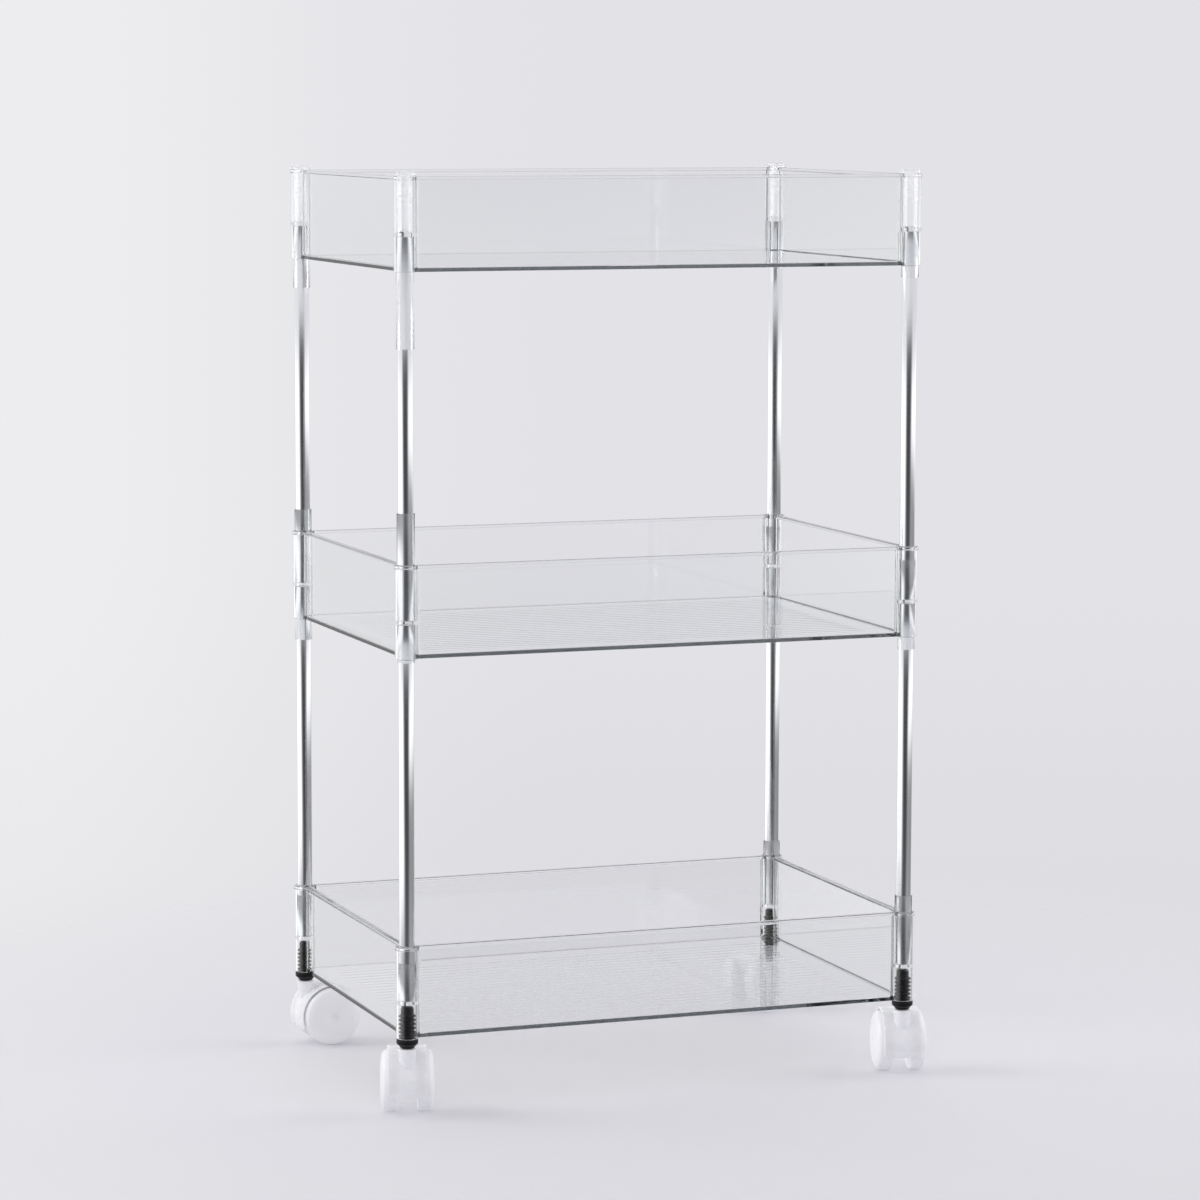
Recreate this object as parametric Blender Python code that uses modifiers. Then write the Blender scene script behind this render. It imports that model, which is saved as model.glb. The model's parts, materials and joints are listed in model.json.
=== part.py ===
"""Three-tier clear tray cart on twin-wheel casters.

Three moulded trays are stacked on eight metal tubes. Each tray has a socket at every corner with a
stop ledge inside: a tube seats against it from each side. Push-in caps close the top sockets, and
black ribbed plugs in the bottom sockets hold the caster stems.
Metres, +Z up, -Y front, origin on the ground under the middle of the cart.
"""

import math

import bmesh
import bpy
from mathutils import Matrix

MM = 0.001
GAP = 0.3 * MM

# Driving dimensions of the cart.
POST_SPAN_X = 410 * MM
POST_SPAN_Y = 268 * MM
TRAY_BOTTOM_Z = 59.6 * MM
TRAY_PITCH = 289 * MM
TRAY_HEIGHT = 70.6 * MM
# Middle of the four posts: off the origin, so that the whole cart with its casters is centred on it.
POSTS_X = -4.7 * MM
POSTS_Y = -4.5 * MM

# Tray section.
WALL = 2.6 * MM
FLOOR = 2.4 * MM
RIM_WIDTH = 6.6 * MM
RIM_HEIGHT = 2.2 * MM
SOCKET_R = 8.6 * MM
SOCKET_COLLAR_R = 8.9 * MM
SOCKET_BORE_R = 7.1 * MM
FILLET_R = 3.0 * MM
RIM_FILLET_R = 2.0 * MM
LEDGE_BOTTOM = 26.4 * MM
LEDGE_TOP = 29.2 * MM
LEDGE_HOLE_R = 4.0 * MM

# Tubes, and the thin sleeves on their ends.
TUBE_R = 6.0 * MM
TUBE_WALL = 0.7 * MM
SLEEVE_WALL = 0.5 * MM
# How far each sleeve shows past the tray edge; a negative one ends inside its socket.
SLEEVE_SHOWS = {
    "upper_top": {"front_left": 57, "back_left": 23, "front_right": 9, "back_right": 12},
    "upper_bottom": {"front_left": 39, "back_left": 17.5, "front_right": -10.5, "back_right": -10},
    "lower_top": {"front_left": 2.5, "back_left": 17, "front_right": 10, "back_right": 21.5},
    "lower_bottom": {"front_left": -13, "back_left": -8, "front_right": 13, "back_right": 12.5},
}

# Push-in caps and black plugs.
FLANGE_R = 8.3 * MM
RIB_R = 6.8 * MM
STEM_CORE_R = 5.7 * MM
CAP_STEM = 40.6 * MM
CAP_RIBBED = 22 * MM
CAP_FLANGE = 3.6 * MM
PLUG_STEM = 24.6 * MM
PLUG_FLANGE = 4.8 * MM
PLUG_NUB = 2.4 * MM

# Casters.
WHEEL_R = 23.5 * MM
CASTER_TRAIL = 18 * MM
TREAD_INNER_X = 7.9 * MM
TREAD_OUTER_X = 15.0 * MM
WHEEL_OUTER_X = 20.6 * MM
FENDER_R = 26.3 * MM
FENDER_WALL = 1.6 * MM
FENDER_HALF_WIDTH = 15.2 * MM
FENDER_FRONT_ANGLE = -22
FENDER_REAR_ANGLE = 138
WEB_HALF_WIDTH = 6.6 * MM
HUB_R = 7.5 * MM
BOSS_R = 7.0 * MM
BOSS_TOP_Z = 51.8 * MM
BOSS_BOTTOM_Z = 35 * MM
PIN_R = 3.5 * MM
AXLE_R = 2.5 * MM
AXLE_HALF_LENGTH = 17.0 * MM
# Turn of each caster about its stem; at 0 it trails straight back, towards +Y.
CASTER_TURN = {"front_left": -17, "front_right": -15, "back_left": -88, "back_right": 115}

ROUND_STEPS = 16
SMALL_STEPS = 12
WHEEL_STEPS = 20
MERGE = 0.00001
SHARP_ANGLE = math.radians(40)

CORNERS = {
    "front_left": (-1, -1),
    "front_right": (1, -1),
    "back_left": (-1, 1),
    "back_right": (1, 1),
}
TRAYS = ("bottom", "middle", "top")


def remove_everything():
    for obj in list(bpy.data.objects):
        bpy.data.objects.remove(obj, do_unlink=True)


def collection(name):
    made = bpy.data.collections.new(name)
    bpy.context.scene.collection.children.link(made)
    return made


def material(name, color, roughness, metallic=0.0, transmission=0.0):
    made = bpy.data.materials.new(name)
    made.use_nodes = True
    shader = made.node_tree.nodes["Principled BSDF"]
    shader.inputs["Base Color"].default_value = (*color, 1.0)
    shader.inputs["Roughness"].default_value = roughness
    shader.inputs["Metallic"].default_value = metallic
    shader.inputs["Transmission Weight"].default_value = transmission
    return made


def tray_bottom(tier):
    """Height of the underside of a tray: tier 0 is the lowest."""
    return TRAY_BOTTOM_Z + tier * TRAY_PITCH


def corner_place(corner):
    side_x, side_y = CORNERS[corner]
    return POSTS_X + side_x * POST_SPAN_X / 2, POSTS_Y + side_y * POST_SPAN_Y / 2


def add_object(name, mesh, group, finish=None, location=(0, 0, 0), rotation=(0, 0, 0), parent=None):
    obj = bpy.data.objects.new(name, mesh)
    group.objects.link(obj)
    obj.location = location
    obj.rotation_euler = rotation
    obj.parent = parent
    if finish:
        mesh.materials.clear()
        mesh.materials.append(finish)
    return obj


def add_empty(name, group, location, turn=0.0):
    empty = bpy.data.objects.new(name, None)
    group.objects.link(empty)
    empty.location = location
    empty.rotation_euler = (0, 0, math.radians(turn))
    return empty


def shade(mesh):
    mesh.shade_smooth()
    mesh.set_sharp_from_angle(angle=SHARP_ANGLE)


def evaluated_mesh(obj, name):
    """The mesh of an object with its modifiers, welded and shaded smooth; the object is removed."""
    bpy.context.view_layer.update()
    mesh = bpy.data.meshes.new_from_object(obj.evaluated_get(bpy.context.evaluated_depsgraph_get()))
    mesh.name = name
    welded = bmesh.new()
    welded.from_mesh(mesh)
    bmesh.ops.remove_doubles(welded, verts=welded.verts, dist=MERGE)
    welded.to_mesh(mesh)
    welded.free()
    shade(mesh)
    bpy.data.objects.remove(obj, do_unlink=True)
    return mesh


def turned(name, profile, steps, group, closed=False):
    """Mesh of a profile of (radius, height) points turned about Z. It runs down its outer side."""
    mesh = bpy.data.meshes.new(name)
    edges = [(i, i + 1) for i in range(len(profile) - 1)]
    if closed:
        edges.append((len(profile) - 1, 0))
    mesh.from_pydata([(radius, 0, height) for radius, height in profile], edges, [])
    obj = add_object(name, mesh, group)
    screw = obj.modifiers.new("turn", "SCREW")
    screw.steps = steps
    screw.render_steps = steps
    screw.use_merge_vertices = True
    screw.merge_threshold = MERGE
    screw.use_smooth_shade = True
    return evaluated_mesh(obj, name)


def outline_solid(name, loop, low, high, group):
    """Closed mesh object of a flat outline between two heights."""
    curve = bpy.data.curves.new(name, "CURVE")
    curve.dimensions = "2D"
    curve.fill_mode = "BOTH"
    curve.extrude = (high - low) / 2
    spline = curve.splines.new("POLY")
    spline.points.add(len(loop) - 1)
    for point, (x, y) in zip(spline.points, loop):
        point.co = (x, y, 0, 1)
    spline.use_cyclic_u = True
    mesh = evaluated_mesh(add_object(name, curve, group), name)
    mesh.transform(Matrix.Translation((0, 0, (low + high) / 2)))
    return add_object(name, mesh, group)


def cut(obj, cutter, operation="DIFFERENCE"):
    modifier = obj.modifiers.new(cutter.name, "BOOLEAN")
    modifier.operation = operation
    modifier.object = cutter
    modifier.solver = "MANIFOLD"
    cutter.hide_render = True
    cutter.display_type = "WIRE"


def arc(center, radius, start, end, steps):
    """Points on an arc, both ends included; angles in degrees."""
    found = []
    for i in range(steps + 1):
        angle = math.radians(start + (end - start) * i / steps)
        found.append((center[0] + radius * math.cos(angle), center[1] + radius * math.sin(angle)))
    return found


def corner_outline(half_wall, socket_r, fillet_r, outer):
    """Outline past one socket whose walls run along +X and +Y, from the +X wall to the +Y wall."""
    side = -1 if outer else 1
    reach = socket_r + fillet_r
    rise = half_wall + fillet_r
    along = math.sqrt(reach**2 - rise**2)
    lean = math.degrees(math.asin(rise / reach))
    into = arc((along, side * rise), fillet_r, -side * 90, -side * (180 - lean), 2)
    if outer:
        around = arc((0, 0), socket_r, -lean, -270 + lean, 11)
    else:
        around = arc((0, 0), socket_r, lean, 90 - lean, 2)
    out_of = [(y, x) for x, y in reversed(into)]
    return into[:-1] + around + out_of[1:]


def tray_outline(half_wall, socket_r, fillet_r, outer):
    """Closed outline of the four walls and sockets, on the outside or round the pocket inside."""
    loop = []
    corner = corner_outline(half_wall, socket_r, fillet_r, outer)
    for side_x, side_y in ((-1, -1), (-1, 1), (1, 1), (1, -1)):
        points = [
            (POSTS_X + side_x * (POST_SPAN_X / 2 - x), POSTS_Y + side_y * (POST_SPAN_Y / 2 - y))
            for x, y in corner
        ]
        loop += points if side_x * side_y > 0 else points[::-1]
    return loop


def add_skin(tray, levels):
    """A skin through outlines of equal length, given as (outline, height). Gives its end edges."""
    rings = [[tray.verts.new((x, y, height)) for x, y in outline] for outline, height in levels]
    for upper, lower in zip(rings, rings[1:]):
        for i in range(len(upper)):
            tray.faces.new((upper[i - 1], upper[i], lower[i], lower[i - 1]))
    ends = []
    for ring in (rings[0], rings[-1]):
        ends.append([tray.edges.get((ring[i - 1], ring[i])) for i in range(len(ring))])
    return ends


def tray_mesh():
    """One tray with its underside at height 0."""
    rim_low = TRAY_HEIGHT - RIM_HEIGHT
    wall = tray_outline(WALL / 2, SOCKET_R, FILLET_R, outer=True)
    rim = tray_outline(RIM_WIDTH / 2, SOCKET_COLLAR_R, RIM_FILLET_R, outer=True)
    pocket = tray_outline(WALL / 2, SOCKET_R, FILLET_R, outer=False)
    mouth = tray_outline(RIM_WIDTH / 2, SOCKET_COLLAR_R, RIM_FILLET_R, outer=False)

    tray = bmesh.new()
    outside = [(rim, TRAY_HEIGHT), (rim, rim_low), (wall, rim_low), (wall, 0)]
    inside = [(mouth, TRAY_HEIGHT), (mouth, rim_low), (pocket, rim_low), (pocket, FLOOR)]
    rim_edge, foot_edge = add_skin(tray, outside)
    mouth_edge, floor_edge = add_skin(tray, inside)
    top = rim_edge + mouth_edge
    bottom = list(foot_edge)
    for corner in CORNERS:
        place = corner_place(corner)
        bore = arc(place, SOCKET_BORE_R, 0, 360, ROUND_STEPS)[:-1]
        hole = arc(place, LEDGE_HOLE_R, 0, 360, ROUND_STEPS)[:-1]
        upper = [(bore, TRAY_HEIGHT), (bore, LEDGE_TOP), (hole, LEDGE_TOP)]
        lower = [(hole, LEDGE_BOTTOM), (bore, LEDGE_BOTTOM), (bore, 0)]
        bore_top, bore_bottom = add_skin(tray, upper + lower)
        top += bore_top
        bottom += bore_bottom
    for edges, upward in ((top, 1), (bottom, -1), (floor_edge, 1)):
        bmesh.ops.triangle_fill(tray, edges=edges, use_beauty=True, normal=(0, 0, upward))
    bmesh.ops.recalc_face_normals(tray, faces=tray.faces)
    mesh = bpy.data.meshes.new("tray")
    tray.to_mesh(mesh)
    tray.free()
    shade(mesh)
    return mesh


def disc_profile(radius, low, high):
    return [(0, high), (radius, high), (radius, low), (0, low)]


def ring_profile(inner, outer, low, high):
    """Closed section of a plain sleeve or tube."""
    return [(inner, high), (outer, high), (outer, low), (inner, low)]


def ribs(first, last, count):
    """Points of rounded ribs on a stem, going down from one height to another."""
    found = []
    step = (first - last) / count
    for i in range(count):
        top = first - i * step
        found += [
            (STEM_CORE_R, top - 0.15 * step),
            (RIB_R, top - 0.5 * step),
            (STEM_CORE_R, top - 0.85 * step),
        ]
    return found


def cap_profile():
    """Clear cap: domed flange on the rim, and a hollow stem, ribbed above and plain down to the
    ledge. Height 0 is the rim."""
    seat = GAP
    return (
        [
            (0, seat + CAP_FLANGE),
            (0.55 * FLANGE_R, seat + 0.95 * CAP_FLANGE),
            (0.88 * FLANGE_R, seat + 0.75 * CAP_FLANGE),
            (FLANGE_R, seat + 0.4 * CAP_FLANGE),
            (FLANGE_R, seat),
            (STEM_CORE_R, seat),
        ]
        + ribs(seat, -CAP_RIBBED, 3)
        + [(0.8 * STEM_CORE_R, -CAP_STEM), (0.65 * STEM_CORE_R, -CAP_STEM)]
        + [(0.65 * STEM_CORE_R, seat), (0, seat)]
    )


def plug_profile():
    """Black plug with a blind bore for the caster's pin. Height 0 is the socket's lower end."""
    seat = -GAP
    bore_r = PIN_R + GAP
    return (
        [(0, PLUG_STEM), (0.75 * STEM_CORE_R, PLUG_STEM), (STEM_CORE_R, 0.93 * PLUG_STEM)]
        + ribs(0.88 * PLUG_STEM, 0.0, 7)
        + [
            (STEM_CORE_R, seat),
            (0.93 * FLANGE_R, seat),
            (FLANGE_R, seat - 0.2 * PLUG_FLANGE),
            (FLANGE_R, seat - 0.75 * PLUG_FLANGE),
            (0.85 * FLANGE_R, seat - PLUG_FLANGE),
            (0.66 * FLANGE_R, seat - PLUG_FLANGE - PLUG_NUB),
            (bore_r, seat - PLUG_FLANGE - PLUG_NUB),
            (bore_r, 0.84 * PLUG_STEM),
            (0, 0.84 * PLUG_STEM),
        ]
    )


def wheel_profile():
    """Half of a twin wheel about its axle. Height is the distance from the caster's middle."""
    bore_r = AXLE_R + GAP
    bore_end = AXLE_HALF_LENGTH + GAP
    return [
        (0, WHEEL_OUTER_X),
        (0.5 * WHEEL_R, WHEEL_OUTER_X - 0.2 * MM),
        (0.82 * WHEEL_R, WHEEL_OUTER_X - 1.0 * MM),
        (0.95 * WHEEL_R, WHEEL_OUTER_X - 2.6 * MM),
        (WHEEL_R - 0.4 * MM, TREAD_OUTER_X + 0.6 * MM),
        (WHEEL_R, TREAD_OUTER_X),
        (WHEEL_R, TREAD_INNER_X + 0.5 * MM),
        (WHEEL_R - 0.5 * MM, TREAD_INNER_X),
        (bore_r, TREAD_INNER_X),
        (bore_r, bore_end),
        (0, bore_end),
    ]


def around_axle(radius, start, end, steps):
    """Points (trail, height) about the axle; 0 degrees is the front and 90 the top."""
    return [
        (CASTER_TRAIL - x, WHEEL_R + z)
        for x, z in arc((0, 0), radius, start, end, steps)
    ]


def side_plate(name, loop, half_width, group):
    """A solid with this outline in the plane of trail and height, centred across the caster."""
    plate = outline_solid(name, loop, -half_width, half_width, group)
    to_upright = Matrix(((0, 0, 1), (1, 0, 0), (0, 1, 0))).to_4x4()
    plate.data.transform(to_upright)
    return plate


def hood_mesh(parts, cutters):
    """Caster body: fender over both wheels, web between them, boss for the stem pin."""
    outer = around_axle(FENDER_R, FENDER_FRONT_ANGLE, FENDER_REAR_ANGLE, 14)
    inner = around_axle(FENDER_R - FENDER_WALL, FENDER_FRONT_ANGLE, FENDER_REAR_ANGLE, 14)
    hood = side_plate("hood_blank", outer + inner[::-1], FENDER_HALF_WIDTH, parts)

    web_r = FENDER_R - FENDER_WALL / 2
    web = around_axle(web_r, FENDER_FRONT_ANGLE + 3, FENDER_REAR_ANGLE - 3, 14)
    hub = around_axle(HUB_R, 215, 325, 5)
    cut(hood, side_plate("web_blank", web + hub, WEB_HALF_WIDTH, cutters), "UNION")

    boss = turned("boss_blank", disc_profile(BOSS_R, BOSS_BOTTOM_Z, BOSS_TOP_Z), SMALL_STEPS, cutters)
    cut(hood, add_object("boss_blank", boss, cutters), "UNION")

    pin_r = PIN_R + GAP
    pin_low = BOSS_BOTTOM_Z + 2 * MM
    pin = turned("pin_cutter", disc_profile(pin_r, pin_low, BOSS_TOP_Z + MM), SMALL_STEPS, cutters)
    cut(hood, add_object("pin_cutter", pin, cutters))
    axle_r = AXLE_R + GAP
    axle_end = WEB_HALF_WIDTH + MM
    bore = turned("axle_cutter", disc_profile(axle_r, -axle_end, axle_end), SMALL_STEPS, cutters)
    place = (0, CASTER_TRAIL, WHEEL_R)
    cut(hood, add_object("axle_cutter", bore, cutters, location=place, rotation=(0, math.pi / 2, 0)))
    return evaluated_mesh(hood, "caster_hood")


def build_trays(parts, finish):
    mesh = tray_mesh()
    for tier, name in enumerate(TRAYS):
        add_object("tray_" + name, mesh, parts, finish, location=(0, 0, tray_bottom(tier)))


def build_tubes(parts, metal, clear):
    """Four tubes between each pair of trays, with a sleeve on each end."""
    length = TRAY_PITCH - (LEDGE_TOP - LEDGE_BOTTOM) - 2 * GAP
    tube = turned("tube", ring_profile(TUBE_R - TUBE_WALL, TUBE_R, 0, length), ROUND_STEPS, parts, closed=True)
    sleeve_r = TUBE_R + GAP
    for tier, name in enumerate(("lower", "upper")):
        low = tray_bottom(tier) + LEDGE_TOP + GAP
        high = low + length
        rim = tray_bottom(tier) + TRAY_HEIGHT
        underside = tray_bottom(tier + 1)
        for corner in CORNERS:
            x, y = corner_place(corner)
            add_object(f"tube_{name}_{corner}", tube, parts, metal, location=(x, y, low))
            ends = {
                "bottom": (low, rim + SLEEVE_SHOWS[name + "_bottom"][corner] * MM),
                "top": (underside - SLEEVE_SHOWS[name + "_top"][corner] * MM, high),
            }
            for end, (start, stop) in ends.items():
                section = ring_profile(sleeve_r, sleeve_r + SLEEVE_WALL, 0, stop - start)
                label = f"sleeve_{name}_{end}_{corner}"
                mesh = turned(label, section, ROUND_STEPS, parts, closed=True)
                add_object(label, mesh, parts, clear, location=(x, y, start))


def build_caps_and_plugs(parts, clear, black):
    cap = turned("cap", cap_profile(), SMALL_STEPS, parts)
    plug = turned("plug", plug_profile(), SMALL_STEPS, parts)
    rim = tray_bottom(2) + TRAY_HEIGHT
    foot = tray_bottom(0)
    for corner in CORNERS:
        x, y = corner_place(corner)
        add_object("cap_" + corner, cap, parts, clear, location=(x, y, rim))
        add_object("plug_" + corner, plug, parts, black, location=(x, y, foot))


def build_casters(parts, cutters, finishes):
    hood = hood_mesh(parts, cutters)
    pin_low = BOSS_BOTTOM_Z + 2 * MM + GAP
    pin_high = tray_bottom(0) + 0.84 * PLUG_STEM - GAP
    pin = turned("stem_pin", disc_profile(PIN_R, pin_low, pin_high), SMALL_STEPS, parts)
    axle = turned("axle", disc_profile(AXLE_R, -AXLE_HALF_LENGTH, AXLE_HALF_LENGTH), SMALL_STEPS, parts)
    wheel = turned("wheel", wheel_profile(), WHEEL_STEPS, parts)
    for corner in CORNERS:
        swivel = add_empty("swivel_" + corner, parts, (*corner_place(corner), 0), CASTER_TURN[corner])
        hub = (0, CASTER_TRAIL, WHEEL_R)
        right = (0, math.pi / 2, 0)
        left = (0, -math.pi / 2, 0)
        add_object("caster_stem_" + corner, pin, parts, finishes["steel"], parent=swivel)
        add_object("caster_hood_" + corner, hood, parts, finishes["hood"], parent=swivel)
        add_object("caster_axle_" + corner, axle, parts, finishes["steel"], hub, right, swivel)
        add_object(f"wheel_{corner}_right", wheel, parts, finishes["wheel"], hub, right, swivel)
        add_object(f"wheel_{corner}_left", wheel, parts, finishes["wheel"], hub, left, swivel)


def main():
    remove_everything()
    parts = collection("tray_cart")
    cutters = collection("cutters")
    clear = material("clear_plastic", (0.93, 0.94, 0.95), 0.05, transmission=1.0)
    sleeve = material("clear_sleeve", (0.9, 0.91, 0.92), 0.12, transmission=0.9)
    metal = material("polished_tube", (0.78, 0.79, 0.8), 0.15, metallic=1.0)
    black = material("black_plug", (0.015, 0.015, 0.016), 0.45)
    steel = material("steel_pin", (0.6, 0.6, 0.62), 0.3, metallic=1.0)
    hood = material("caster_hood", (0.88, 0.89, 0.92), 0.25, transmission=0.5)
    wheel = material("caster_wheel", (0.86, 0.87, 0.9), 0.3, transmission=0.4)

    build_trays(parts, clear)
    build_tubes(parts, metal, sleeve)
    build_caps_and_plugs(parts, clear, black)
    build_casters(parts, cutters, {"steel": steel, "hood": hood, "wheel": wheel})
    bpy.context.view_layer.update()


main()
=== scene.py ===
"""Looks of the clear tray cart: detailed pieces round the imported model, a pale studio and a camera."""
import json
import math

import bmesh
import bpy
from mathutils import Matrix, Vector


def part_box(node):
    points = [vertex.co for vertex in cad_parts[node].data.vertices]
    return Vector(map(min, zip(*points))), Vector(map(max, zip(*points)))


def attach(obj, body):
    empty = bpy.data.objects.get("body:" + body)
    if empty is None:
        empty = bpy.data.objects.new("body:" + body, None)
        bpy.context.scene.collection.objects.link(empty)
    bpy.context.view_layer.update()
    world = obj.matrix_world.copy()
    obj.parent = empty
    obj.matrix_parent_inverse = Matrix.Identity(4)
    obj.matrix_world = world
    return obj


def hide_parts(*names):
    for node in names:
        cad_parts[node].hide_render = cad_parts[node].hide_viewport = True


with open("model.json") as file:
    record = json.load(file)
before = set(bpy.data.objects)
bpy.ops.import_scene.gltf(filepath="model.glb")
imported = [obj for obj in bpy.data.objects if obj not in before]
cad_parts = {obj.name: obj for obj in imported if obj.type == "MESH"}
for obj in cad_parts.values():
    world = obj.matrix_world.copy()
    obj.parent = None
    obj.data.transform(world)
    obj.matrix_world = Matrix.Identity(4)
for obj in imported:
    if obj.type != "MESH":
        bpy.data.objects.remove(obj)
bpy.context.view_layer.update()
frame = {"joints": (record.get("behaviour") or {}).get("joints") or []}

MM = 0.001

# Sizes that the pieces share with the solids. MIDDLE lies between the four posts.
MIDDLE = (-4.7 * MM, -4.5 * MM)
POST_SPAN = (410 * MM, 268 * MM)
TRAY_HEIGHT = 70.6 * MM
WALL = 2.6 * MM
FLOOR = 2.4 * MM
RIM_WIDTH = 6.6 * MM
RIM_HEIGHT = 2.2 * MM
SOCKET_R = 8.6 * MM
COLLAR_R = 8.9 * MM
BORE_R = 7.1 * MM
FILLET_R = 3.0 * MM
RIM_FILLET_R = 2.0 * MM
LEDGE_BOTTOM = 26.4 * MM
LEDGE_TOP = 29.2 * MM
LEDGE_HOLE_R = 4.0 * MM
TUBE_R = 6.0 * MM
TUBE_WALL = 0.7 * MM
SLEEVE_INNER_R = 6.3 * MM
SLEEVE_WALL = 0.5 * MM
FLANGE_R = 8.3 * MM
STEM_CORE_R = 5.7 * MM
RIB_R = 6.8 * MM
CAP_SEAT = 0.3 * MM
CAP_FLANGE = 3.6 * MM
CAP_STEM = 40.6 * MM
CAP_RIBBED = 22 * MM
PLUG_SEAT = -0.3 * MM
PLUG_STEM = 24.6 * MM
PLUG_FLANGE = 4.8 * MM
PLUG_NUB = 2.4 * MM
PIN_R = 3.5 * MM
AXLE_R = 2.5 * MM
AXLE_HALF_LENGTH = 17.0 * MM
BORE_GAP = 0.3 * MM
WHEEL_R = 23.5 * MM
CASTER_TRAIL = 18 * MM
TREAD_INNER_X = 7.9 * MM
TREAD_OUTER_X = 15.0 * MM
WHEEL_OUTER_X = 20.6 * MM
FENDER_R = 26.3 * MM
FENDER_WALL = 1.6 * MM
FENDER_HALF_WIDTH = 15.2 * MM
FENDER_ANGLES = (-22, 138)  # degrees about the axle, from the pin's side over the top
WEB_HALF_WIDTH = 6.6 * MM
HUB_R = 7.5 * MM
BOSS_TOP_Z = 51.8 * MM
HOOD_VOXEL = 0.45 * MM

CORNERS = {
    "front_left": (-1, -1),
    "front_right": (1, -1),
    "back_left": (-1, 1),
    "back_right": (1, 1),
}
ROUND = 64


# ---------------------------------------------------------------- outlines and meshes

def arc(center, radius, start, end, steps):
    found = []
    for i in range(steps + 1):
        angle = math.radians(start + (end - start) * i / steps)
        found.append((center[0] + radius * math.cos(angle), center[1] + radius * math.sin(angle)))
    return found


def corner_outline(half_wall, socket_r, fillet_r, outer):
    """Outline past one corner socket whose walls run along +X and +Y."""
    side = -1 if outer else 1
    reach = socket_r + fillet_r
    rise = half_wall + fillet_r
    along = math.sqrt(reach**2 - rise**2)
    lean = math.degrees(math.asin(rise / reach))
    into = arc((along, side * rise), fillet_r, -side * 90, -side * (180 - lean), 8)
    if outer:
        around = arc((0, 0), socket_r, -lean, -270 + lean, 44)
    else:
        around = arc((0, 0), socket_r, lean, 90 - lean, 10)
    out_of = [(y, x) for x, y in reversed(into)]
    return into[:-1] + around + out_of[1:]


def tray_outline(half_wall, socket_r, fillet_r, outer):
    loop = []
    corner = corner_outline(half_wall, socket_r, fillet_r, outer)
    for side_x, side_y in ((-1, -1), (-1, 1), (1, 1), (1, -1)):
        points = [
            (MIDDLE[0] + side_x * (POST_SPAN[0] / 2 - x), MIDDLE[1] + side_y * (POST_SPAN[1] / 2 - y))
            for x, y in corner
        ]
        loop += points if side_x * side_y > 0 else points[::-1]
    return loop


def wall_loop(offset, outer):
    """Wall outline grown by offset away from the middle of the wall."""
    return tray_outline(WALL / 2 + offset, SOCKET_R + offset, FILLET_R - offset, outer)


def rim_loop(offset, outer):
    return tray_outline(RIM_WIDTH / 2 + offset, COLLAR_R + offset, RIM_FILLET_R - offset, outer)


def corner_place(corner):
    side_x, side_y = CORNERS[corner]
    return MIDDLE[0] + side_x * POST_SPAN[0] / 2, MIDDLE[1] + side_y * POST_SPAN[1] / 2


def add_skin(mesh, levels):
    """A skin through closed outlines of equal length; gives the edges of its two ends."""
    rings = [[mesh.verts.new((x, y, height)) for x, y in outline] for outline, height in levels]
    for upper, lower in zip(rings, rings[1:]):
        for i in range(len(upper)):
            mesh.faces.new((upper[i - 1], upper[i], lower[i], lower[i - 1]))
    ends = []
    for ring in (rings[0], rings[-1]):
        ends.append([mesh.edges.get((ring[i - 1], ring[i])) for i in range(len(ring))])
    return ends


def mesh_from(build, name, sharp=35):
    """Mesh data from a bmesh: normals out, smooth, with sharp edges where it turns hard."""
    bmesh.ops.recalc_face_normals(build, faces=build.faces)
    mesh = bpy.data.meshes.new(name)
    build.to_mesh(mesh)
    build.free()
    mesh.shade_smooth()
    mesh.set_sharp_from_angle(angle=math.radians(sharp))
    return mesh


def weigh_normals(mesh):
    """The same mesh with normals weighted by face area, so that flat walls shade flat."""
    carrier = bpy.data.objects.new("carrier", mesh)
    bpy.context.scene.collection.objects.link(carrier)
    weighted = carrier.modifiers.new("weight", "WEIGHTED_NORMAL")
    weighted.mode = "FACE_AREA"
    weighted.weight = 80
    weighted.keep_sharp = True
    bpy.context.view_layer.update()
    made = bpy.data.meshes.new_from_object(carrier.evaluated_get(bpy.context.evaluated_depsgraph_get()))
    made.name = mesh.name
    bpy.data.objects.remove(carrier, do_unlink=True)
    return made


def add_piece(name, mesh, finish, location, rotation=(0, 0, 0)):
    piece = bpy.data.objects.new(name, mesh)
    bpy.context.scene.collection.objects.link(piece)
    piece.location = location
    piece.rotation_euler = rotation
    if not mesh.materials:
        mesh.materials.append(finish)
    return piece


def rounded(points, steps=5):
    """A profile of (radius, height, rounding) points with its corners rounded."""
    found = []
    for i, (x, y, rounding) in enumerate(points):
        here = Vector((x, y))
        if rounding <= 0 or i in (0, len(points) - 1):
            found.append((x, y))
            continue
        before = Vector(points[i - 1][:2]) - here
        after = Vector(points[i + 1][:2]) - here
        reach = min(rounding, 0.49 * before.length, 0.49 * after.length)
        start = here + before.normalized() * reach
        end = here + after.normalized() * reach
        for k in range(steps + 1):
            t = k / steps
            point = start * (1 - t) ** 2 + here * 2 * t * (1 - t) + end * t**2
            found.append((point.x, point.y))
    return found


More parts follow.
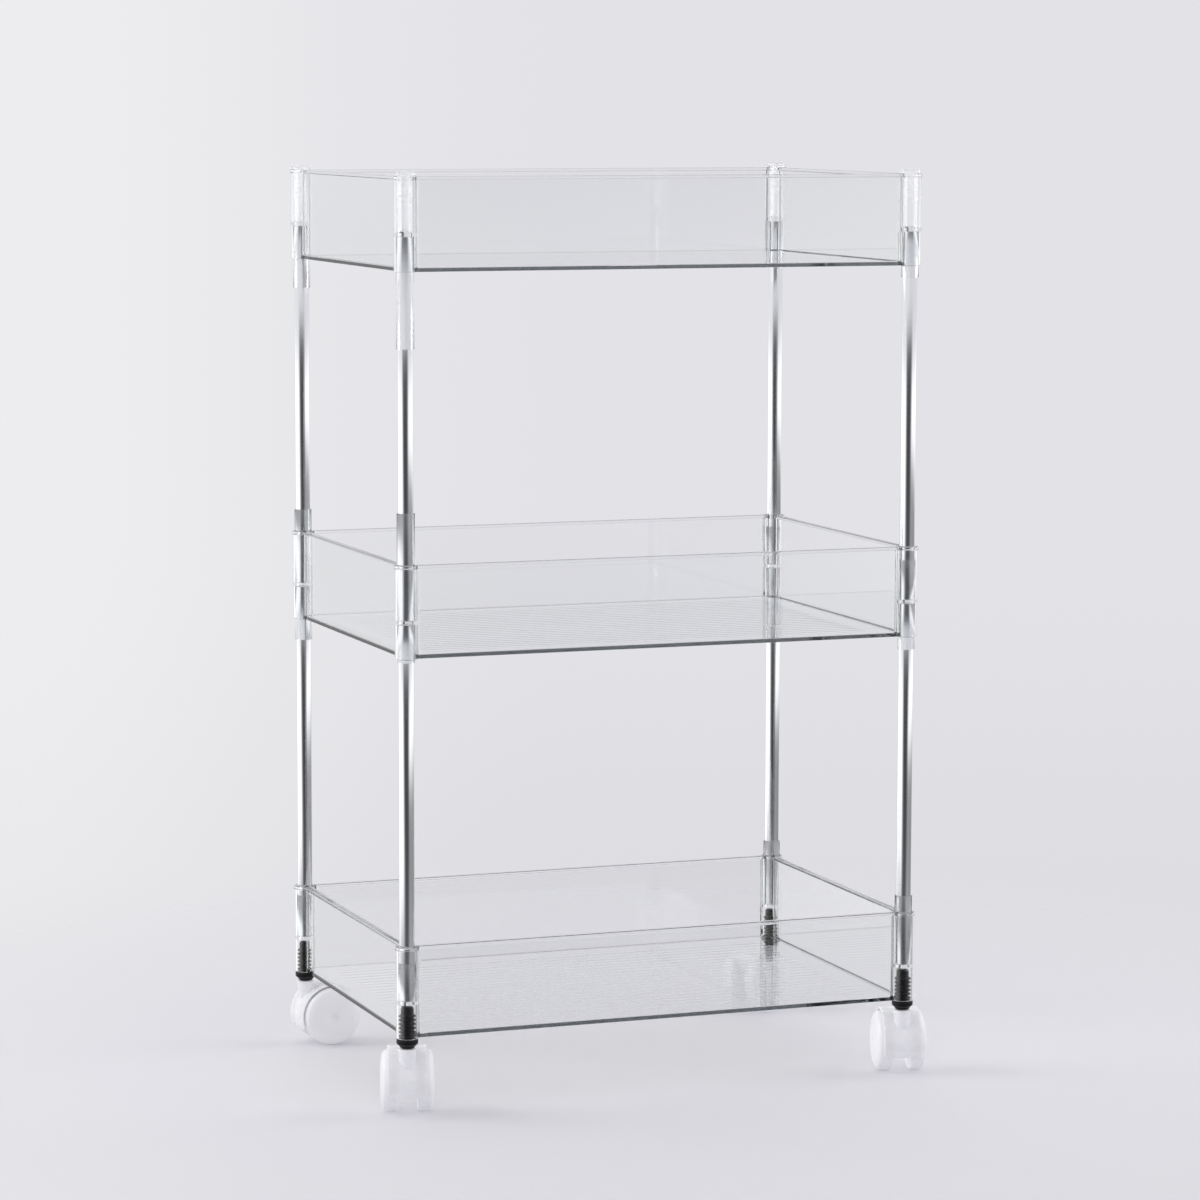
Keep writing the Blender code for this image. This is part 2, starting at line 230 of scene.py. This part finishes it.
def lathe(name, profile, steps=ROUND, closed=False):
    """Mesh of a (radius, height) profile turned about Z. Points on the axis become one vertex."""
    build = bmesh.new()
    rows = []
    for radius, height in profile:
        if radius < 1e-7:
            rows.append([build.verts.new((0, 0, height))])
        else:
            ring = arc((0, 0), radius, 0, 360, steps)[:-1]
            rows.append([build.verts.new((x, y, height)) for x, y in ring])
    pairs = list(zip(rows, rows[1:]))
    if closed:
        pairs.append((rows[-1], rows[0]))
    for upper, lower in pairs:
        for i in range(steps):
            if len(upper) == 1:
                build.faces.new((upper[0], lower[i], lower[i - 1]))
            elif len(lower) == 1:
                build.faces.new((upper[i - 1], upper[i], lower[0]))
            else:
                build.faces.new((upper[i - 1], upper[i], lower[i], lower[i - 1]))
    return mesh_from(build, name)


# ---------------------------------------------------------------- materials

MOTTLE_SCALE = 140.0
WAVE_SCALE = 28.0
WAVE_DEPTH = 0.4 * MM
DRAW_MARKS_ACROSS = 2600.0
DRAW_MARKS_ALONG = 14.0
DRAW_MARK_DEPTH = 0.05 * MM
DRAW_MARK_STRENGTH = 0.03
VOLUME_TINT = (0.62, 0.64, 0.65, 1.0)


class Nodes:
    """Small helper that adds nodes to one material or world."""

    def __init__(self, owner):
        owner.use_nodes = True
        self.tree = owner.node_tree
        self.tree.nodes.clear()

    def add(self, kind, inputs=(), **settings):
        node = self.tree.nodes.new(kind)
        for name, value in settings.items():
            setattr(node, name, value)
        for socket, value in dict(inputs).items():
            if isinstance(value, bpy.types.NodeSocket):
                self.tree.links.new(value, node.inputs[socket])
            else:
                node.inputs[socket].default_value = value
        return node

    def math(self, operation, a, b):
        return self.add("ShaderNodeMath", {0: a, 1: b}, operation=operation).outputs[0]

    def noise(self, scale, detail, vector=None):
        inputs = {"Scale": scale, "Detail": detail}
        inputs["Vector"] = vector or self.add("ShaderNodeTexCoord").outputs["Object"]
        return self.add("ShaderNodeTexNoise", inputs).outputs["Fac"]

    def spread(self, value, low, high):
        """A 0..1 value mapped to a range."""
        inputs = {"Value": value, "To Min": low, "To Max": high}
        return self.add("ShaderNodeMapRange", inputs).outputs["Result"]

    def ramp(self, value, low, high):
        """0 below low and 1 above high, with a soft step between."""
        inputs = {"Value": value, "From Min": low, "From Max": high}
        return self.add("ShaderNodeMapRange", inputs, interpolation_type="SMOOTHSTEP").outputs["Result"]

    def mix(self, factor, a, b):
        """Colour a where the factor is 0, and colour b where it is 1."""
        inputs = {0: factor, 6: a, 7: b}
        return self.add("ShaderNodeMix", inputs, data_type="RGBA").outputs[2]

    def reflected(self):
        """1 for what is seen by reflection, 0 for what is seen directly or through clear plastic."""
        depth = self.add("ShaderNodeLightPath").outputs["Glossy Depth"]
        return self.math("MINIMUM", depth, 1.0)


def plastic(name, color, roughness, ior, transmission=0.0, density=0.0, wave=0.05, extra=()):
    """Moulded plastic with slight waves, and roughness that varies a little. A density tints its depth."""
    finish = bpy.data.materials.new(name)
    nodes = Nodes(finish)
    mottle = nodes.noise(MOTTLE_SCALE, 3.0)
    waves = nodes.noise(WAVE_SCALE, 1.0)
    bump = nodes.add("ShaderNodeBump", {"Strength": wave, "Distance": WAVE_DEPTH, "Height": waves})
    inputs = {
        "Base Color": (*color, 1.0),
        "Roughness": nodes.spread(mottle, *roughness),
        "IOR": ior,
        "Transmission Weight": transmission,
        "Normal": bump.outputs[0],
    }
    inputs.update(extra)
    shader = nodes.add("ShaderNodeBsdfPrincipled", inputs)
    output = nodes.add("ShaderNodeOutputMaterial", {"Surface": shader.outputs[0]})
    if density:
        tint = {"Color": VOLUME_TINT, "Density": density}
        volume = nodes.add("ShaderNodeVolumeAbsorption", tint)
        nodes.tree.links.new(volume.outputs[0], output.inputs["Volume"])
    return finish


def metal(name, color, roughness):
    """Polished metal with faint draw marks along its Z axis."""
    finish = bpy.data.materials.new(name)
    nodes = Nodes(finish)
    place = nodes.add("ShaderNodeTexCoord").outputs["Object"]
    stretch = (DRAW_MARKS_ACROSS, DRAW_MARKS_ACROSS, DRAW_MARKS_ALONG)
    mapping = nodes.add("ShaderNodeMapping", {"Vector": place, "Scale": stretch})
    marks = nodes.noise(1.0, 2.0, mapping.outputs[0])
    relief = {"Strength": DRAW_MARK_STRENGTH, "Distance": DRAW_MARK_DEPTH, "Height": marks}
    bump = nodes.add("ShaderNodeBump", relief)
    shader = nodes.add("ShaderNodeBsdfPrincipled", {
        "Base Color": (*color, 1.0),
        "Metallic": 1.0,
        "Roughness": nodes.spread(marks, *roughness),
        "Normal": bump.outputs[0],
    })
    nodes.add("ShaderNodeOutputMaterial", {"Surface": shader.outputs[0]})
    return finish


CLEAR = plastic("clear_plastic", (0.985, 0.988, 0.99), (0.0, 0.03), 1.5, transmission=1.0, density=17.0)
SLEEVE = plastic("clear_sleeve", (0.97, 0.975, 0.98), (0.0, 0.025), 1.42, transmission=1.0)
CAP = plastic("cap_plastic", (0.97, 0.975, 0.98), (0.12, 0.16), 1.25, transmission=0.72, wave=0.03)
TUBE = metal("polished_tube", (0.86, 0.87, 0.88), (0.08, 0.16))
STEEL = metal("steel_pin", (0.62, 0.62, 0.64), (0.2, 0.35))
RUBBER = plastic(
    "black_plug", (0.004, 0.004, 0.0045), (0.35, 0.5), 1.45, extra={"Specular IOR Level": 0.3},
)
MILKY = {"Subsurface Weight": 0.6, "Subsurface Radius": (6 * MM, 6 * MM, 6 * MM), "Subsurface Scale": 1.0}
HOOD = plastic("caster_hood", (0.88, 0.88, 0.905), (0.24, 0.3), 1.49, wave=0.02, extra=MILKY)
WHEEL = plastic("caster_wheel", (0.9, 0.9, 0.92), (0.26, 0.32), 1.49, wave=0.02, extra=MILKY)


# ---------------------------------------------------------------- trays

# The ribbed middle of a tray's underside: half sizes, and the share of them where the ribs fade out.
RIB_AREA = (186 * MM, 116 * MM)
RIB_PITCH = 10.4 * MM
RIB_DEPTH = 0.05 * MM
RIB_FADE_X = 0.05
RIB_FADE_Y = 0.04
ROWS_PER_RIB = 10


def add_ribbed_patch(build, margin_edges):
    """Grooved middle of the underside; its flat edge joins the rest of the underside."""
    columns = [-1.0, -0.985, -0.95, -0.6, -0.2, 0.2, 0.6, 0.95, 0.985, 1.0]
    count = int(2 * RIB_AREA[1] / (RIB_PITCH / ROWS_PER_RIB))
    grid = []
    for j in range(count + 1):
        v = -1 + 2 * j / count
        y = MIDDLE[1] + v * RIB_AREA[1]
        wave = 0.5 + 0.5 * math.cos(2 * math.pi * v * RIB_AREA[1] / RIB_PITCH)
        shape = wave**2 * min(1.0, (1 - abs(v)) / RIB_FADE_Y)
        row = []
        for u in columns:
            fade = min(1.0, (1 - abs(u)) / RIB_FADE_X)
            row.append(build.verts.new((MIDDLE[0] + u * RIB_AREA[0], y, RIB_DEPTH * shape * fade)))
        grid.append(row)
    for lower, upper in zip(grid, grid[1:]):
        for i in range(len(columns) - 1):
            build.faces.new((lower[i], lower[i + 1], upper[i + 1], upper[i]))
    border = grid[0] + [row[-1] for row in grid[1:]] + grid[-1][-2::-1] + [row[0] for row in grid[-2:0:-1]]
    margin_edges += [build.edges.get((border[i - 1], border[i])) for i in range(len(border))]


def tray_mesh():
    """One tray with its underside at height 0, edges and corners rounded."""
    top = TRAY_HEIGHT
    rim = TRAY_HEIGHT - RIM_HEIGHT
    outside = [
        (rim_loop(-0.7 * MM, True), top),
        (rim_loop(-0.2 * MM, True), top - 0.2 * MM),
        (rim_loop(0, True), top - 0.7 * MM),
        (rim_loop(0, True), rim + 0.5 * MM),
        (rim_loop(-0.15 * MM, True), rim + 0.15 * MM),
        (rim_loop(-0.5 * MM, True), rim),
        (wall_loop(0.7 * MM, True), rim),
        (wall_loop(0.2 * MM, True), rim - 0.2 * MM),
        (wall_loop(0, True), rim - 0.7 * MM),
        (wall_loop(0, True), 0.6 * MM),
        (wall_loop(-0.18 * MM, True), 0.18 * MM),
        (wall_loop(-0.6 * MM, True), 0),
    ]
    inside = [
        (rim_loop(-0.7 * MM, False), top),
        (rim_loop(-0.2 * MM, False), top - 0.2 * MM),
        (rim_loop(0, False), top - 0.7 * MM),
        (rim_loop(0, False), rim + 0.5 * MM),
        (rim_loop(-0.15 * MM, False), rim + 0.15 * MM),
        (rim_loop(-0.5 * MM, False), rim),
        (wall_loop(0.7 * MM, False), rim),
        (wall_loop(0.2 * MM, False), rim - 0.2 * MM),
        (wall_loop(0, False), rim - 0.7 * MM),
        (wall_loop(0, False), FLOOR + 1.2 * MM),
        (wall_loop(0.16 * MM, False), FLOOR + 0.6 * MM),
        (wall_loop(0.6 * MM, False), FLOOR + 0.16 * MM),
        (wall_loop(1.2 * MM, False), FLOOR),
    ]
    build = bmesh.new()
    rim_edge, foot_edge = add_skin(build, outside)
    mouth_edge, floor_edge = add_skin(build, inside)
    top_edges = rim_edge + mouth_edge
    bottom_edges = list(foot_edge)
    for corner in CORNERS:
        place = corner_place(corner)
        sizes = [
            (BORE_R + 0.4 * MM, top),
            (BORE_R, top - 0.4 * MM),
            (BORE_R, LEDGE_TOP),
            (LEDGE_HOLE_R, LEDGE_TOP),
            (LEDGE_HOLE_R, LEDGE_BOTTOM),
            (BORE_R, LEDGE_BOTTOM),
            (BORE_R, 0.4 * MM),
            (BORE_R + 0.4 * MM, 0),
        ]
        levels = [(arc(place, radius, 0, 360, ROUND)[:-1], height) for radius, height in sizes]
        bore_top, bore_bottom = add_skin(build, levels)
        top_edges += bore_top
        bottom_edges += bore_bottom
    add_ribbed_patch(build, bottom_edges)
    for edges, upward in ((top_edges, 1), (bottom_edges, -1), (floor_edge, 1)):
        bmesh.ops.triangle_fill(build, edges=edges, use_beauty=True, normal=(0, 0, upward))
    return mesh_from(build, "tray_moulding", 30)


def make_trays():
    mesh = weigh_normals(tray_mesh())
    for tier in ("bottom", "middle", "top"):
        node = "tray_" + tier
        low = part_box(node)[0].z
        tray = add_piece("clear_tray_" + tier, mesh, CLEAR, (0, 0, low))
        tray.visible_shadow = False
        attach(tray, "frame")
        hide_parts(node)


# ---------------------------------------------------------------- tubes, sleeves, caps, plugs

def ring_mesh(name, inner, outer, height, edge):
    """A plain sleeve or tube from height 0, its edges eased."""
    corners = [(inner, height), (outer, height), (outer, 0), (inner, 0)]
    profile = []
    for i, (x, y) in enumerate(corners):
        before = corners[i - 1]
        after = corners[(i + 1) % 4]
        piece = rounded([(*before, 0), (x, y, edge), (*after, 0)], 3)
        profile += piece[1:-1]
    return lathe(name, profile, closed=True)


def make_tubes():
    for level in ("lower", "upper"):
        for corner in CORNERS:
            x, y = corner_place(corner)
            node = f"tube_{level}_{corner}"
            low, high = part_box(node)
            mesh = ring_mesh(node, TUBE_R - TUBE_WALL, TUBE_R, high.z - low.z, 0.2 * MM)
            tube = add_piece("polished_" + node, mesh, TUBE, (x, y, low.z))
            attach(tube, "frame")
            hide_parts(node)
            for end in ("bottom", "top"):
                node = f"sleeve_{level}_{end}_{corner}"
                low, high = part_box(node)
                outer = SLEEVE_INNER_R + SLEEVE_WALL
                mesh = ring_mesh(node, SLEEVE_INNER_R, outer, high.z - low.z, 0.15 * MM)
                sleeve = add_piece("clear_" + node, mesh, SLEEVE, (x, y, low.z))
                sleeve.visible_shadow = False
                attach(sleeve, "frame")
                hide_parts(node)


def ribs(first, last, count, core, crest, sharpness=1.5):
    """Rounded ribs going down a stem."""
    found = []
    step = (first - last) / count
    for i in range(count):
        for k in range(9):
            t = (k + 0.5) / 9
            swell = math.sin(math.pi * t) ** sharpness
            found.append((core + (crest - core) * swell, first - (i + t) * step))
    return found


def cap_mesh():
    crown = rounded([
        (0, CAP_SEAT + CAP_FLANGE, 0),
        (0.5 * FLANGE_R, CAP_SEAT + CAP_FLANGE, 2 * MM),
        (0.93 * FLANGE_R, CAP_SEAT + 0.74 * CAP_FLANGE, 1.4 * MM),
        (FLANGE_R, CAP_SEAT + 0.1 * CAP_FLANGE, 0.5 * MM),
        (0.96 * FLANGE_R, CAP_SEAT, 0.2 * MM),
        (STEM_CORE_R, CAP_SEAT, 0),
    ])
    stem = ribs(CAP_SEAT - 0.6 * MM, -CAP_RIBBED, 6, 0.97 * STEM_CORE_R, 1.03 * STEM_CORE_R)
    hollow_r = 0.62 * STEM_CORE_R
    inside = rounded([
        (0.96 * STEM_CORE_R, -CAP_RIBBED - MM, 0),
        (0.92 * STEM_CORE_R, -CAP_STEM, 0.5 * MM),
        (hollow_r, -CAP_STEM, 0.3 * MM),
        (hollow_r, CAP_SEAT + 0.2 * CAP_FLANGE, 1.2 * MM),
        (0, CAP_SEAT + 0.2 * CAP_FLANGE, 0),
    ])
    return lathe("cap_moulding", crown + stem + inside)


def plug_mesh():
    bore_r = PIN_R + BORE_GAP
    core_r = 0.86 * STEM_CORE_R
    tip = rounded([
        (0, PLUG_STEM, 0),
        (0.8 * core_r, PLUG_STEM, 0.8 * MM),
        (core_r, 0.94 * PLUG_STEM, 0.6 * MM),
        (core_r, 0.78 * PLUG_STEM, 0),
    ])
    stem = ribs(0.77 * PLUG_STEM, 0.02 * PLUG_STEM, 6, core_r, RIB_R, 3.0)
    flange = rounded([
        (core_r, PLUG_SEAT, 0),
        (0.95 * FLANGE_R, PLUG_SEAT, 0.5 * MM),
        (FLANGE_R, PLUG_SEAT - 0.2 * PLUG_FLANGE, 0.8 * MM),
        (FLANGE_R, PLUG_SEAT - 0.75 * PLUG_FLANGE, 1.2 * MM),
        (0.8 * FLANGE_R, PLUG_SEAT - PLUG_FLANGE, 0.8 * MM),
        (0.66 * FLANGE_R, PLUG_SEAT - PLUG_FLANGE - 0.8 * PLUG_NUB, 0.6 * MM),
        (0.56 * FLANGE_R, PLUG_SEAT - PLUG_FLANGE - PLUG_NUB, 0.3 * MM),
        (bore_r, PLUG_SEAT - PLUG_FLANGE - PLUG_NUB, 0),
        (bore_r, 0.84 * PLUG_STEM, 0),
        (0, 0.84 * PLUG_STEM, 0),
    ])
    return lathe("plug_moulding", tip + stem + flange)


def make_caps_and_plugs():
    cap_shape = cap_mesh()
    plug_shape = plug_mesh()
    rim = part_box("tray_top")[1].z
    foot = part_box("tray_bottom")[0].z
    for corner in CORNERS:
        x, y = corner_place(corner)
        cap = add_piece("clear_cap_" + corner, cap_shape, CAP, (x, y, rim))
        cap.visible_shadow = False
        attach(cap, "frame")
        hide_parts("cap_" + corner)
        plug = add_piece("ribbed_plug_" + corner, plug_shape, RUBBER, (x, y, foot))
        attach(plug, "frame")
        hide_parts("plug_" + corner)


# ---------------------------------------------------------------- casters

def around_axle(radius, start, end, steps):
    return [(CASTER_TRAIL - x, WHEEL_R + z) for x, z in arc((0, 0), radius, start, end, steps)]


def add_plate(build, loop, half_width):
    """A solid with this outline in the plane of trail and height, centred across the caster."""
    sides = [[build.verts.new((x, trail, height)) for trail, height in loop]
             for x in (-half_width, half_width)]
    build.faces.new(sides[0])
    build.faces.new(sides[1][::-1])
    for i in range(len(loop)):
        build.faces.new((sides[0][i - 1], sides[0][i], sides[1][i], sides[1][i - 1]))


def hood_mesh():
    """Caster body: fender, web and boss melted into one moulding by a fine remesh."""
    build = bmesh.new()
    start, end = FENDER_ANGLES
    outer = around_axle(FENDER_R, start, end, 60)
    inner = around_axle(FENDER_R - FENDER_WALL, start, end, 60)
    add_plate(build, outer + inner[::-1], FENDER_HALF_WIDTH)
    web = around_axle(FENDER_R - FENDER_WALL / 2, start + 3, end - 3, 60)
    hub = around_axle(HUB_R, 215, 325, 16)
    add_plate(build, web + hub, WEB_HALF_WIDTH)
    boss = lathe("boss", [
        (0, BOSS_TOP_Z), (6.4 * MM, BOSS_TOP_Z), (7.0 * MM, BOSS_TOP_Z - 0.7 * MM),
        (6.7 * MM, BOSS_TOP_Z - 4 * MM), (5.0 * MM, BOSS_TOP_Z - 14 * MM), (0, BOSS_TOP_Z - 15 * MM),
    ])
    build.from_mesh(boss)
    bmesh.ops.recalc_face_normals(build, faces=build.faces)
    mesh = bpy.data.meshes.new("hood_blank")
    build.to_mesh(mesh)
    build.free()
    blank = bpy.data.objects.new("hood_blank", mesh)
    bpy.context.scene.collection.objects.link(blank)
    remesh = blank.modifiers.new("melt", "REMESH")
    remesh.mode = "VOXEL"
    remesh.voxel_size = HOOD_VOXEL
    smooth = blank.modifiers.new("ease", "SMOOTH")
    smooth.factor = 0.6
    smooth.iterations = 4
    bpy.context.view_layer.update()
    melted = bpy.data.meshes.new_from_object(blank.evaluated_get(bpy.context.evaluated_depsgraph_get()))
    bpy.data.objects.remove(blank, do_unlink=True)
    melted.name = "hood_moulding"
    melted.shade_smooth()
    return melted


def wheel_mesh():
    """Half of a twin wheel about its axle: domed face, shoulder, flat tread, hollow back."""
    bore_r = AXLE_R + BORE_GAP
    bore_end = AXLE_HALF_LENGTH + BORE_GAP
    profile = rounded([
        (0, WHEEL_OUTER_X - 0.5 * MM, 0),
        (0.12 * WHEEL_R, WHEEL_OUTER_X - 0.5 * MM, 0.3 * MM),
        (0.15 * WHEEL_R, WHEEL_OUTER_X, 0.4 * MM),
        (0.5 * WHEEL_R, WHEEL_OUTER_X - 0.2 * MM, 3 * MM),
        (0.8 * WHEEL_R, WHEEL_OUTER_X - 0.9 * MM, 2 * MM),
        (0.95 * WHEEL_R, WHEEL_OUTER_X - 2.6 * MM, 1.5 * MM),
        (WHEEL_R - 0.2 * MM, TREAD_OUTER_X + 0.7 * MM, 0.7 * MM),
        (WHEEL_R, TREAD_OUTER_X, 0.3 * MM),
        (WHEEL_R, TREAD_INNER_X, 0.7 * MM),
        (0.88 * WHEEL_R, TREAD_INNER_X, 0.5 * MM),
        (0.86 * WHEEL_R, TREAD_INNER_X + 1.5 * MM, 0.8 * MM),
        (0.34 * WHEEL_R, TREAD_INNER_X + 1.5 * MM, 0.8 * MM),
        (0.3 * WHEEL_R, TREAD_INNER_X, 0.4 * MM),
        (bore_r, TREAD_INNER_X, 0.2 * MM),
        (bore_r, bore_end, 0),
        (0, bore_end, 0),
    ])
    return lathe("wheel_moulding", profile, 96)


def rod_mesh(name, radius, top, bottom, top_edge, bottom_edge):
    profile = [(0, top, 0), (radius, top, top_edge), (radius, bottom, bottom_edge), (0, bottom, 0)]
    return lathe(name, rounded(profile), 48)


def make_casters():
    hood_shape = hood_mesh()
    wheel_shape = wheel_mesh()
    axle_shape = rod_mesh("axle_rod", AXLE_R, AXLE_HALF_LENGTH, -AXLE_HALF_LENGTH, 0.4 * MM, 0.4 * MM)
    joints = {joint["name"]: joint for joint in frame["joints"]}
    for corner in CORNERS:
        body = "swivel_" + corner
        x, y = corner_place(corner)
        spin = joints[f"wheel_{corner}_right_spin"]
        turn = math.atan2(spin["axis"][1], spin["axis"][0])
        low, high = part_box("caster_stem_" + corner)
        pin_shape = rod_mesh("pin_" + corner, PIN_R, high.z, low.z, 0.6 * MM, 0.3 * MM)
        pin = add_piece("steel_pin_" + corner, pin_shape, STEEL, (x, y, 0))
        hood = add_piece("caster_body_" + corner, hood_shape, HOOD, (x, y, 0), (0, 0, turn))
        across = (0, math.pi / 2, turn)
        axle = add_piece("steel_axle_" + corner, axle_shape, STEEL, spin["pos_m"], across)
        for piece, node in ((pin, "caster_stem_"), (hood, "caster_hood_"), (axle, "caster_axle_")):
            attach(piece, body)
            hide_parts(node + corner)
        for side, lean in (("right", math.pi / 2), ("left", -math.pi / 2)):
            node = f"wheel_{corner}_{side}"
            name = f"twin_{node}"
            wheel = add_piece(name, wheel_shape, WHEEL, spin["pos_m"], (0, lean, turn))
            wheel.visible_shadow = False
            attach(wheel, node)
            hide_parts(node)


# ---------------------------------------------------------------- studio

CAMERA_PLACE = Vector((-1.20012, -3.20238, 0.77476))
CAMERA_YAW = 0.35768
CAMERA_PITCH = -0.11797
CAMERA_ROLL = 0.0022
CAMERA_LENS = 130.09


def make_camera():
    data = bpy.data.cameras.new("camera")
    data.lens = CAMERA_LENS
    data.sensor_width = 36
    data.clip_start = 0.05
    data.clip_end = 100
    camera = bpy.data.objects.new("camera", data)
    bpy.context.scene.collection.objects.link(camera)
    level = math.cos(CAMERA_PITCH)
    forward = Vector((level * math.sin(CAMERA_YAW), level * math.cos(CAMERA_YAW), math.sin(CAMERA_PITCH)))
    right = Vector((math.cos(CAMERA_YAW), -math.sin(CAMERA_YAW), 0))
    up = right.cross(forward)
    tilt_right = right * math.cos(CAMERA_ROLL) + up * math.sin(CAMERA_ROLL)
    tilt_up = up * math.cos(CAMERA_ROLL) - right * math.sin(CAMERA_ROLL)
    turn = Matrix((tilt_right, tilt_up, -forward)).transposed()
    camera.matrix_world = Matrix.Translation(CAMERA_PLACE) @ turn.to_4x4()
    bpy.context.scene.camera = camera


# Directions in the studio, as its camera stands. FRONT rises a little.
AWAY = Vector((math.sin(CAMERA_YAW), math.cos(CAMERA_YAW), 0))
LEFT = Vector((-math.cos(CAMERA_YAW), math.sin(CAMERA_YAW), 0))
FRONT = Vector((-0.345, -0.925, 0.16))

# Tones of the backdrop, and of the panels that only reflections show.
BACKDROP_HIGH = (0.765, 0.762, 0.8, 1)
BACKDROP_HIGH_LEFT = (0.85, 0.85, 0.865, 1)
BACKDROP_LOW = (0.705, 0.705, 0.738, 1)
BACKDROP_LOW_LEFT = (0.805, 0.805, 0.82, 1)
SIDE_PANEL = (1.3, 1.3, 1.32, 1)
SIDE_PANEL_LOW_RIGHT = (0.3, 0.3, 0.31, 1)
SIDE_PANEL_FOOT = (0.4, 0.4, 0.41, 1)
BACK_PANEL = (0.78, 0.78, 0.79, 1)
FRONT_PANEL = (0.06, 0.06, 0.065, 1)

# Where one tone goes over into the next: from and to, as the cosine of the angle off a direction.
LEFT_EDGE = (0.0, 0.14)
RIGHT_EDGE = (-0.1, 0.25)
BACKDROP_EDGE = (0.1, 0.23)
RIGHT_PANEL_END = (0.085, 0.16)
SIDE_PANEL_END = (0.22, 0.34)
BACK_PANEL_EDGE = (0.66, 0.74)
FRONT_PANEL_EDGE = (0.55, 0.95)
FRONT_PANEL_TOP = (-0.06, 0.0)
PANEL_TOP = (0.0, 0.05)

# The disc under the cart, and the two lights.
STAGE_R = 3.0
STAGE_FADE = (0.3, 1.0)
STAGE_COLOR = (0.75, 0.745, 0.77, 1)
STAGE_DROP = 0.2 * MM
SOFTBOX_SIZE = (1.2, 1.2)
SOFTBOX_TARGET = (0, 0, 0.2)


def make_world():
    """Backdrop and studio, told apart by direction only.

    What is seen directly or through clear plastic is a pale backdrop, lighter on the left and darker
    low down. What is seen by reflection is bright side panels that end low down, a softer panel
    behind and a dark one in front, and above them the plain backdrop.
    """
    world = bpy.data.worlds.new("studio")
    bpy.context.scene.world = world
    nodes = Nodes(world)
    direction = nodes.add("ShaderNodeTexCoord").outputs["Generated"]

    def towards(vector):
        dot = nodes.add("ShaderNodeVectorMath", {0: direction, 1: vector}, operation="DOT_PRODUCT")
        return dot.outputs["Value"]

    downward = towards((0, 0, -1))
    on_left = nodes.ramp(towards(LEFT), *LEFT_EDGE)
    high = nodes.mix(on_left, BACKDROP_HIGH, BACKDROP_HIGH_LEFT)
    low = nodes.mix(on_left, BACKDROP_LOW, BACKDROP_LOW_LEFT)
    backdrop = nodes.mix(nodes.ramp(downward, *BACKDROP_EDGE), high, low)

    on_right = nodes.ramp(towards(-LEFT), *RIGHT_EDGE)
    low_right = nodes.math("MULTIPLY", nodes.ramp(downward, *RIGHT_PANEL_END), on_right)
    sides = nodes.mix(low_right, SIDE_PANEL, SIDE_PANEL_LOW_RIGHT)
    sides = nodes.mix(nodes.ramp(downward, *SIDE_PANEL_END), sides, SIDE_PANEL_FOOT)
    panels = nodes.mix(nodes.ramp(towards(AWAY), *BACK_PANEL_EDGE), sides, BACK_PANEL)
    panels = nodes.mix(nodes.ramp(downward, *PANEL_TOP), backdrop, panels)
    in_front = nodes.ramp(towards(FRONT), *FRONT_PANEL_EDGE)
    in_front = nodes.math("MULTIPLY", in_front, nodes.ramp(downward, *FRONT_PANEL_TOP))
    panels = nodes.mix(in_front, panels, FRONT_PANEL)

    seen = nodes.mix(nodes.reflected(), backdrop, panels)
    background = nodes.add("ShaderNodeBackground", {"Color": seen, "Strength": 1.0})
    nodes.add("ShaderNodeOutputWorld", {"Surface": background.outputs[0]})


def make_floor():
    """A pale disc that fades into the backdrop away from the cart, and that reflections don't show."""
    build = bmesh.new()
    bmesh.ops.create_circle(build, cap_ends=True, segments=96, radius=STAGE_R)
    mesh = bpy.data.meshes.new("floor")
    build.to_mesh(mesh)
    build.free()
    finish = bpy.data.materials.new("floor")
    nodes = Nodes(finish)
    place = nodes.add("ShaderNodeTexCoord").outputs["Object"]
    distance = nodes.add("ShaderNodeVectorMath", {0: place}, operation="LENGTH").outputs["Value"]
    hidden = nodes.math("MAXIMUM", nodes.ramp(distance, *STAGE_FADE), nodes.reflected())
    pale = nodes.add("ShaderNodeBsdfPrincipled", {"Base Color": STAGE_COLOR, "Roughness": 0.7})
    clear = nodes.add("ShaderNodeBsdfTransparent")
    both = nodes.add("ShaderNodeMixShader", {0: hidden, 1: pale.outputs[0], 2: clear.outputs[0]})
    nodes.add("ShaderNodeOutputMaterial", {"Surface": both.outputs[0]})
    mesh.materials.append(finish)
    floor = bpy.data.objects.new("floor", mesh)
    floor.location = (0, 0, -STAGE_DROP)
    bpy.context.scene.collection.objects.link(floor)


def add_softbox(name, place, power):
    data = bpy.data.lights.new(name, "AREA")
    data.shape = "RECTANGLE"
    data.size, data.size_y = SOFTBOX_SIZE
    data.energy = power
    light = bpy.data.objects.new(name, data)
    light.location = place
    light.rotation_euler = (Vector(SOFTBOX_TARGET) - Vector(place)).to_track_quat("-Z", "Y").to_euler()
    bpy.context.scene.collection.objects.link(light)


def set_light_paths():
    """Light runs along inside the clear plates, and deep into the white casters, by many bounces."""
    cycles = bpy.context.scene.cycles
    cycles.max_bounces = 24
    cycles.diffuse_bounces = 12
    cycles.glossy_bounces = 20
    cycles.transmission_bounces = 16


make_camera()
make_trays()
make_tubes()
make_caps_and_plugs()
make_casters()
make_world()
make_floor()
add_softbox("softbox_left", (-2.2, 0.9, 1.5), 18)
add_softbox("softbox_right", (2.3, -0.2, 1.4), 12)
set_light_paths()
bpy.context.scene.view_settings.view_transform = "Standard"
bpy.context.view_layer.update()
